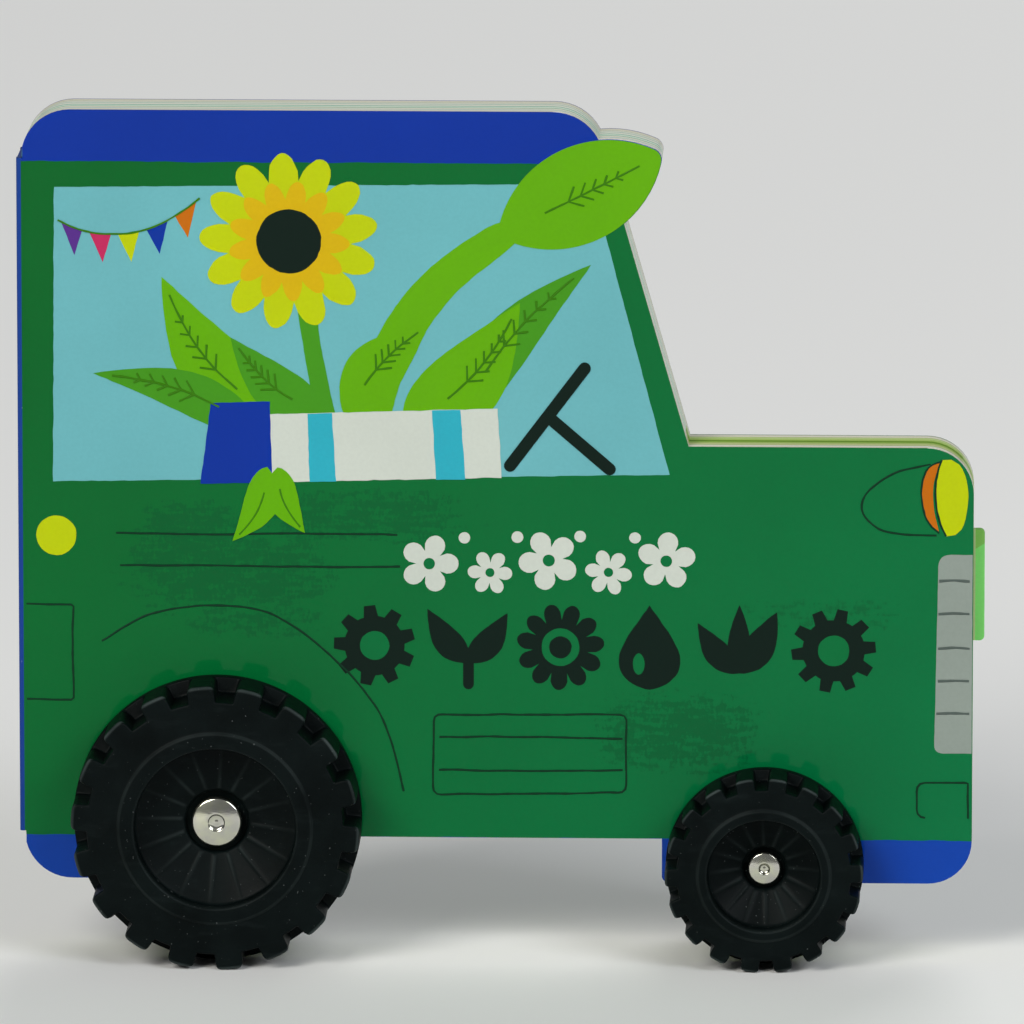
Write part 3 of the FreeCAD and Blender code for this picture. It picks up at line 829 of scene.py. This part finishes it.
def add_prism(form, outline, side, low, high, slot_index):
    """Thin closed plate from an (x, z) outline between two depths on one side of the book."""
    spots, _, triangles, *_ = delaunay_2d_cdt(
        [Vector(point) for point in outline], [], [range(len(outline))], 1, 1e-4)
    bottom, top = ([form.verts.new(place(x, z, side * depth)) for x, z in spots]
                   for depth in (low, high))
    faces, steps = [], set()
    for a, b, c in triangles:
        leftward = (spots[b] - spots[a]).cross(spots[c] - spots[a]) > 0
        if leftward != (side < 0):
            b, c = c, b
        steps |= {(a, b), (b, c), (c, a)}
        faces.append(form.faces.new((top[a], top[b], top[c])))
        faces.append(form.faces.new((bottom[c], bottom[b], bottom[a])))
    for a, b in sorted(steps):
        if (b, a) not in steps:
            faces.append(form.faces.new((top[b], top[a], bottom[a], bottom[b])))
    for face in faces:
        face.material_index = slot_index


def print_piece(name, fields, side):
    """One mesh of ink fields that lie in thin steps on a cover's face."""
    mesh = bpy.data.meshes.new(name)
    names = sorted({field[0] for field in fields})
    for code in names:
        mesh.materials.append(ink(code))
    form = bmesh.new()
    for order, (code, layer, outline) in enumerate(fields):
        # fields of one layer lie 2 microns apart at least, so that overlaps show cleanly
        rise = INK_STEP * (layer + 1 + 0.8 * (order % 7) / 7)
        add_prism(form, outline, side, COVER_FACE - 0.01, COVER_FACE + rise, names.index(code))
    form.to_mesh(mesh)
    form.free()
    return link(name, mesh)


def line_piece(name, lines, side, level, width, code, tree):
    """Pen lines of one ink, laid on a cover's face."""
    curve = bpy.data.curves.new(name, "CURVE")
    curve.dimensions = "3D"
    for points in lines:
        spline = curve.splines.new("POLY")
        spline.points.add(len(points) - 1)
        for point, (x, z) in zip(spline.points, points):
            point.co = (*place(x, z), 1.0)
    form = bmesh.new()
    form.from_mesh(grown_mesh(link(name + "_path", curve), tree, width=width * MM, relief=0.06,
                              wander=0.5 * MM, spacing=0.9 * MM, ink=ink(code)))
    rise = Vector((0, side * (COVER_FACE + INK_STEP * level) * MM, 0))
    bmesh.ops.translate(form, vec=rise, verts=form.verts)
    bmesh.ops.remove_doubles(form, verts=form.verts, dist=0.001 * MM)
    return finished(form, name, ink(code))


# Angles of the columns across half a lug pitch, and how deep each stands in the gap
LUG_COLUMNS = [10.0, 7.8, 6.4, 5.5, 4.9, 4.4, 3.95, 3.6, 0.0]
LUG_DEPTHS = [0.0, 0.0, 0.012, 0.05, 0.13, 0.30, 0.92, 0.985, 1.0]
# Distance of the columns from a rib's middle, and the rib's section over them
RIB_OFFSETS = [0.0, 0.14, 0.26, 0.38, 0.55, 0.85]
RIB_SHAPE = [1.0, 0.93, 0.7, 0.35, 0.06, 0.0, 0.0, 0.0, 0.0, 0.0]
HALF_RIB_SECTOR = 11.25
COLUMN_STEP = 1.25


def strip_mesh(name, rows):
    """Quad strip from rows of (angle in degrees, radius, distance out) points, front to -Y."""
    mesh = bpy.data.meshes.new(name)
    points = [(r * sin(radians(a)) * MM, -out * MM, r * cos(radians(a)) * MM)
              for row in rows for a, r, out in row]
    count = len(rows[0])
    faces = [(i * count + j, i * count + j + 1, (i + 1) * count + j + 1, (i + 1) * count + j)
             for i in range(len(rows) - 1) for j in range(count - 1)]
    mesh.from_pydata(points, [], faces)
    return mesh


def seat_height(size):
    """Height of the cup's floor over the wheel's back."""
    return size["cap_stand"] - WHEEL_GAP - size["cap_height"] - AXIAL_PLAY


def web_front(size, r):
    """Height of the dished web's front face at a radius."""
    low, high = seat_height(size) + CUP_DEPTH, size["width"] - size["dish_depth"]
    return low + (high - low) * (r - size["cup"]) / (size["dish"] - size["cup"])


def tread_sector(size):
    """One lug pitch of the wheel: sidewall, lug and gap, back ring, hollow back and hub."""
    radius, shoulder, ring = size["radius"], size["shoulder"], BACK_RING
    floor, side = radius - size["tread"], size["width"] - BEAD_HEIGHT
    web = seat_height(size) + CUP_DEPTH - WHEEL_WALL
    hollow, well, boss = floor - WHEEL_WALL, size["dish"] + WHEEL_WALL, size["cup"] + WHEEL_WALL
    bore = size["pin"] + RUNNING_CLEARANCE
    # radius and height on the lug, the same in the gap, and how far the columns gather there
    rows = [(r, side, r, side, warp) for r, warp in (
        (size["bead"] + 0.6, 0.0), (floor - 1.6, 0.3), (floor - 0.5, 1.0))]
    rows += [
        (floor + 0.02, side, floor - 0.16, side - 0.02, 1.0),
        (floor + 0.4, side, floor, side - 0.2, 1.0),
        (radius - shoulder - 0.4, side, floor, side - 0.5, 1.0),
    ]
    for step in range(7):
        lean = radians(15 * step)
        rows.append((radius - shoulder + shoulder * sin(lean),
                     side - shoulder + shoulder * cos(lean),
                     floor, side - 0.6 - 0.15 * step, 1.0))
    rows += [
        (radius, side - shoulder - 0.8, floor, side - 2.4, 1.0), (radius, 8.0, floor, 8.0, 1.0),
        (radius, ring + 1.6, floor, ring + 1.6, 1.0), (radius, ring + 0.6, floor, ring + 0.5, 1.0),
        (radius, ring + 0.3, floor + 0.1, ring + 0.15, 1.0),
        (radius, ring + 0.15, floor + 0.5, ring, 1.0),
        (radius, ring, radius - 0.35, ring - 0.02, 1.0),
        (radius, ring - 0.15, radius - 0.07, ring - 0.15, 1.0),
        (radius, ring - 0.5, radius, ring - 0.5, 0.6),
    ]
    rows += [(r, out, r, out, 0.0) for r, out in (
        (radius, 0.6), (radius, 0.35), (radius - 0.1, 0.1), (radius - 0.35, 0.0),
        (hollow + 0.3, 0.0), (hollow, 0.3), (hollow, side - 2.4), (hollow - 0.4, side - 2.0),
        (well + 0.4, side - 2.0), (well, side - 2.4), (well, web + 0.4), (well - 0.4, web),
        (boss + 0.4, web), (boss, web - 0.4), (boss, 0.25), (boss - 0.25, 0.0),
        (bore + 0.15, 0.0), (bore, 0.15))]
    table = []
    for lug_r, lug_out, gap_r, gap_out, warp in rows:
        row = []
        for column in range(-8, 9):
            even = COLUMN_STEP * column
            gathered = copysign(LUG_COLUMNS[8 - abs(column)], column)
            share = LUG_DEPTHS[8 - abs(column)]
            row.append((even + (gathered - even) * warp, lug_r + (gap_r - lug_r) * share,
                        lug_out + (gap_out - lug_out) * share))
        table.append(row)
    return table


def dish_sector(size):
    """One rib pitch of the wheel's face: bead, dish wall, ribbed dish, cup and bore."""
    width, bead, dish, cup = size["width"], size["bead"], size["dish"], size["cup"]
    side, seat, bore = width - BEAD_HEIGHT, seat_height(size), size["pin"] + RUNNING_CLEARANCE
    low, high = web_front(size, cup), web_front(size, dish)
    outer, inner = dish - 0.7, cup + 1.1
    # radius, height, share of the rib's height, and how far the columns gather at the rib
    rows = [
        (bead + 0.6, side, 0, 0), (bead + 0.25, side + 0.02, 0, 0),
        (bead + 0.08, side + 0.1, 0, 0), (bead - 0.12, side + 0.36, 0, 0),
        (bead - 0.3, width - 0.03, 0, 0), (bead - 0.6, width, 0, 0),
        (dish + 0.45, width, 0, 0), (dish + 0.14, width - 0.06, 0, 0),
        (dish + 0.02, width - 0.35, 0, 0.3), (dish, high + 1.4, 0, 1),
        (dish, high + 0.55, 0, 1), (dish - 0.06, high + 0.2, 0, 1),
        (dish - 0.3, web_front(size, dish - 0.3) + 0.03, 0.1, 1),
    ]
    for step in range(7):
        r = outer - (outer - inner) * step / 6
        rows.append((r, web_front(size, r), 0.25 + 0.75 * step / 6, 1))
    rows += [
        (cup + 0.7, web_front(size, cup + 0.7), 0.7, 1),
        (cup + 0.4, web_front(size, cup + 0.4), 0.1, 0.6),
        (cup + 0.12, low - 0.06, 0, 0.3), (cup, low - 0.3, 0, 0), (cup, seat + 0.3, 0, 0),
        (cup - 0.3, seat, 0, 0), (bore + 0.3, seat, 0, 0), (bore, seat - 0.2, 0, 0),
        (bore, 0.15, 0, 0),
    ]
    table = []
    for r, out, rib, warp in rows:
        angles = [degrees(asin(min(0.95, offset / r))) for offset in RIB_OFFSETS]
        last = angles[-1]
        angles += [last + (HALF_RIB_SECTOR - last) * step / 4 for step in (1, 2, 3, 4)]
        row = []
        for column in range(-9, 10):
            even = COLUMN_STEP * column
            gathered = copysign(angles[abs(column)], column)
            row.append((even + (gathered - even) * warp, r,
                        out + RIB_HEIGHT * rib * RIB_SHAPE[abs(column)]))
        table.append(row)
    return table


def wheel_wear_and_highlight(size, r, out):
    """How much a place on a wheel is lightened, as rubbed and as painted highlight: lug shoulders,
    rib tops, the bead and rim edges.
    """
    side, shoulder = size["width"] - BEAD_HEIGHT, size["shoulder"]
    across, deep = r - size["radius"] + shoulder, out - side + shoulder
    if across >= 0 and deep >= 0:
        return sin(2 * atan2(across, deep + 1e-6)) ** 1.5
    if abs(r - size["bead"]) < 0.35 and out > side + 0.05:
        return 0.22
    if abs(r - size["dish"] - 0.1) < 0.1 and out > side - 0.2:
        return 0.2
    if size["cup"] + 0.5 < r < size["dish"] - 0.5 and out > 3.0:
        return 0.3 * max(0.0, min(1.0, (out - web_front(size, r)) / RIB_HEIGHT))
    return 0.0


def make_wheel(name, size, side, tree, material):
    """Moulded wheel grown from its two sectors and set on its axle."""
    form = bmesh.new()
    for rows, count in ((tread_sector(size), LUGS), (dish_sector(size), RIBS)):
        mesh = grown_mesh(link("sector", strip_mesh("sector", rows)), tree, count=count,
                          phase=radians(size["phase"]), weld=WELD * MM, finish=material)
        form.from_mesh(mesh)
        bpy.data.meshes.remove(mesh)
    bmesh.ops.remove_doubles(form, verts=form.verts, dist=WELD * MM)
    # wear: rubbed edges, and painted highlight on the lug shoulders and rib tops
    rubbed_and_highlit = form.verts.layers.float.new("wear")
    axle = place(size["x"], size["radius"], side * (COVER_FACE + WHEEL_GAP))
    for vertex in form.verts:
        x, y, z = vertex.co
        vertex[rubbed_and_highlit] = wheel_wear_and_highlight(size, hypot(x, z) / MM, -y / MM)
        vertex.co = axle + Vector((x, -side * y, z))
    return finished(form, name, material, smooth=True)


def lathe(name, profile, centre, side, steps, material):
    """Closed turned piece about an axle from (radius, distance from the cover) points."""
    form = bmesh.new()
    axle = place(*centre, side * COVER_FACE)
    turns = [2 * pi * i / steps for i in range(steps)]
    rings = []
    for r, out in profile:
        ring = [form.verts.new(axle + MM * Vector((r * sin(a), side * out, r * cos(a))))
                for a in (turns if r else turns[:1])]
        rings.append(ring if r else ring * steps)
    for first, second in zip(rings, rings[1:]):
        for i in range(steps):
            j = (i + 1) % steps
            form.faces.new(dict.fromkeys((first[i], first[j], second[j], second[i])))
    return finished(form, name, material, smooth=True)


def cap_profile(size):
    """Pressed low dome with a rolled dimple, round at its rim, and a blind bore for the pin."""
    radius, height, dimple = size["cap"], size["cap_height"], size["dimple"]
    crown = size["cap_stand"]
    floor = crown - height
    rim, press = crown - 0.13 * radius, 0.45
    centre = (crown ** 2 - rim ** 2 - radius ** 2 + dimple ** 2) / (2 * (crown - rim))
    dome = hypot(radius, rim - centre)
    roll = 0.4
    low = atan2(rim - centre, radius - roll)
    high = atan2(crown - centre, dimple + 0.12)
    grip, deep = size["pin"] + 0.02, crown - 0.45 - 0.5
    profile = [(0.0, deep), (grip - 0.1, deep), (grip, deep - 0.1), (grip, floor + 0.1),
               (grip + 0.1, floor), (radius - 0.35, floor), (radius - 0.1, floor + 0.06),
               (radius, floor + 0.25), (radius, rim - 0.55), (radius - 0.03, rim - 0.32),
               (radius - 0.11, rim - 0.15), (radius - 0.24, rim - 0.04)]
    for step in range(15):
        turn = low + (high - low) * step / 14
        profile.append((dome * cos(turn), centre + dome * sin(turn)))
    profile += [(dimple, crown - 0.015), (dimple - 0.12, crown - 0.08),
                (dimple - 0.25, crown - 0.22), (dimple * 0.72, crown - press * 0.78),
                (dimple * 0.5, crown - press * 0.95), (dimple * 0.36, crown - press),
                (dimple * 0.18, crown - press * 0.8), (0.0, crown - press * 0.72)]
    return profile


def hinge_paper(name, side, material):
    """Printed paper that joins the spine strip to a cover over the hinge."""
    low, high, skin = 25.8, 165.3, 0.035
    outer = [(-1.0, 5.2), (-1.0, 6.8), (-0.93, 7.12), (-0.7, 7.35), (-0.4, 7.39), (-0.15, 7.4),
             (0.0, 7.42), (0.12, 7.45), (0.3, 7.485), (0.5, 7.485)]
    inner = [(x + skin, d) if x < -0.9 else (x, d - skin) for x, d in outer]
    section = outer + inner[::-1]
    form = bmesh.new()
    loops = [[form.verts.new(place(x, low + (high - low) * i / 24, side * d)) for x, d in section]
             for i in range(25)]
    count = len(section)
    for first, second in zip(loops, loops[1:]):
        for i in range(count):
            j = (i + 1) % count
            form.faces.new((first[i], first[j], second[j], second[i]))
    for ring in (loops[0], loops[-1]):
        for i in range(len(outer) - 1):
            form.faces.new((ring[i], ring[i + 1], ring[count - 2 - i], ring[count - 1 - i]))
    return finished(form, name, material)


def rolled_board(name, node, side, material):
    """Cover board whose outer edge is pressed round, as die-cutting leaves it."""
    form = bmesh.new()
    form.from_mesh(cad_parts[node].data)
    bmesh.ops.scale(form, vec=(1 / MM,) * 3, verts=form.verts)
    bmesh.ops.remove_doubles(form, verts=form.verts, dist=0.002)
    rim = []
    for edge in form.edges:
        outer = all(abs(v.co.y - side * COVER_FACE) < 0.005 for v in edge.verts)
        hinge_edge = all(v.co.x < SPINE_EDGE + 0.05 for v in edge.verts)
        if outer and not hinge_edge and edge.is_manifold and edge.calc_face_angle() > 1.0:
            rim.append(edge)
    bmesh.ops.bevel(form, geom=rim, offset=ROLLED_EDGE, segments=4, profile=0.5,
                    affect="EDGES", clamp_overlap=True)
    bmesh.ops.scale(form, vec=(MM,) * 3, verts=form.verts)
    return finished(form, name, material)


# Finishes on the CAD nodes that stay

def repaint(node, material):
    """Gives a CAD node its finish in every slot."""
    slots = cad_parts[node].material_slots
    if not slots:
        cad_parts[node].data.materials.append(material)
    for entry in slots:
        entry.material = material


board_finish = cover_print()
lining_finish = lining_print()
spine_finish = fold_paper()
tyre = wheel_plastic()
plated = steel("zinc_plated_axle_steel", "#b9b8b2", 0.22, 0.4)
polished = steel("polished_cap_steel", "#d6d6c0", 0.15, 0.25)
repaint("page_block", page_print())
repaint("spine", spine_finish)
for name in SIDES:
    repaint(name + "_cover_lining", lining_finish)
    for kind in WHEELS:
        repaint(name + "_" + kind + "_pin", plated)
        repaint(name + "_" + kind + "_washer", tyre)

# Pieces

pen = pen_tree()
spread = round_tree()
for name, side in SIDES.items():
    cover = name + "_cover"
    board = rolled_board(cover + "_laminated_board", cover + "_board", side, board_finish)
    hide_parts(cover + "_board")
    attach(board, cover)
    fields = cab_fields() + vehicle_fields()
    if name == "front":
        fields += sign_fields()
    print_mesh = print_piece(cover + "_print", fields, side)
    outlines = line_piece(cover + "_pen_lines", pen_lines(), side, 3.6, 0.42, "pen", pen)
    veins = line_piece(cover + "_leaf_veins", vein_lines(), side, 7.4, 0.4, "vein", pen)
    slats = line_piece(cover + "_grille_lines", slat_lines(), side, 5.2, 0.5, "soot", pen)
    for piece in (print_mesh, outlines, veins, slats):
        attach(piece, cover)
    for kind, size in WHEELS.items():
        label = name + "_" + kind
        wheel = make_wheel(label + "_moulded_wheel", size, side, spread, tyre)
        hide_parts(label + "_wheel")
        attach(wheel, label + "_wheel")
        cap = lathe(label + "_pressed_cap", cap_profile(size), (size["x"], size["radius"]), side,
                    96, polished)
        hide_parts(label + "_cap")
        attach(cap, cover)
    hinge = hinge_paper(name + "_hinge_paper", side, spine_finish)
    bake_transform(hinge)

# Studio: pale floor, two large soft lamps in front, above what the caps mirror, and one behind

floor_mesh = bpy.data.meshes.new("floor")
floor_mesh.from_pydata([(-9, -9, 0), (9, -9, 0), (9, 9, 0), (-9, 9, 0)], [], [(0, 1, 2, 3)])
floor_mesh.materials.append(
    Paint("matt_studio_floor", Roughness=0.7, Base_Color=linear("#ececea")).material)
floor = link("floor", floor_mesh)

world = bpy.context.scene.world or bpy.data.worlds.new("studio")
bpy.context.scene.world = world
world.use_nodes = True
world.node_tree.nodes.clear()
glow = add(world.node_tree, "ShaderNodeBackground", {"Color": linear("#dfe2e6"), "Strength": 0.22})
add(world.node_tree, "ShaderNodeOutputWorld", {"Surface": glow})

AIM = Vector((0.0, -0.01, 0.08))


def lamp(name, spot, size, power, tint="#ffffff"):
    """Large square soft light aimed at the book."""
    light = bpy.data.lights.new(name, "AREA")
    light.shape = "SQUARE"
    light.size = size
    light.energy = power
    light.color = linear(tint)[:3]
    lit = link(name, light)
    lit.location = spot
    lit.rotation_euler = (AIM - Vector(spot)).to_track_quat("-Z", "Y").to_euler()


lamp("key", (-1.76, -3.05, 2.4), 1.8, 118, "#fffdf8")
lamp("fill", (2.44, -2.7, 2.25), 1.8, 75, "#f6faff")
lamp("rear", (0.84, 3.5, 2.3), 2.2, 54)

CAMERA_AIM = Vector((0.00225, -0.00745, 0.0928))
ELEVATION, AZIMUTH, DISTANCE = radians(10.4), radians(2.0), 2.9
camera_data = bpy.data.cameras.new("camera")
camera_data.lens = 500
camera_data.sensor_width = 36
camera_data.clip_end = 60
camera = link("camera", camera_data)
camera.location = CAMERA_AIM + DISTANCE * Vector((
    sin(AZIMUTH) * cos(ELEVATION), -cos(AZIMUTH) * cos(ELEVATION),
    sin(ELEVATION)))
camera.rotation_euler = (pi / 2 - ELEVATION, 0, AZIMUTH)
bpy.context.scene.camera = camera
bpy.context.scene.view_settings.view_transform = "Standard"
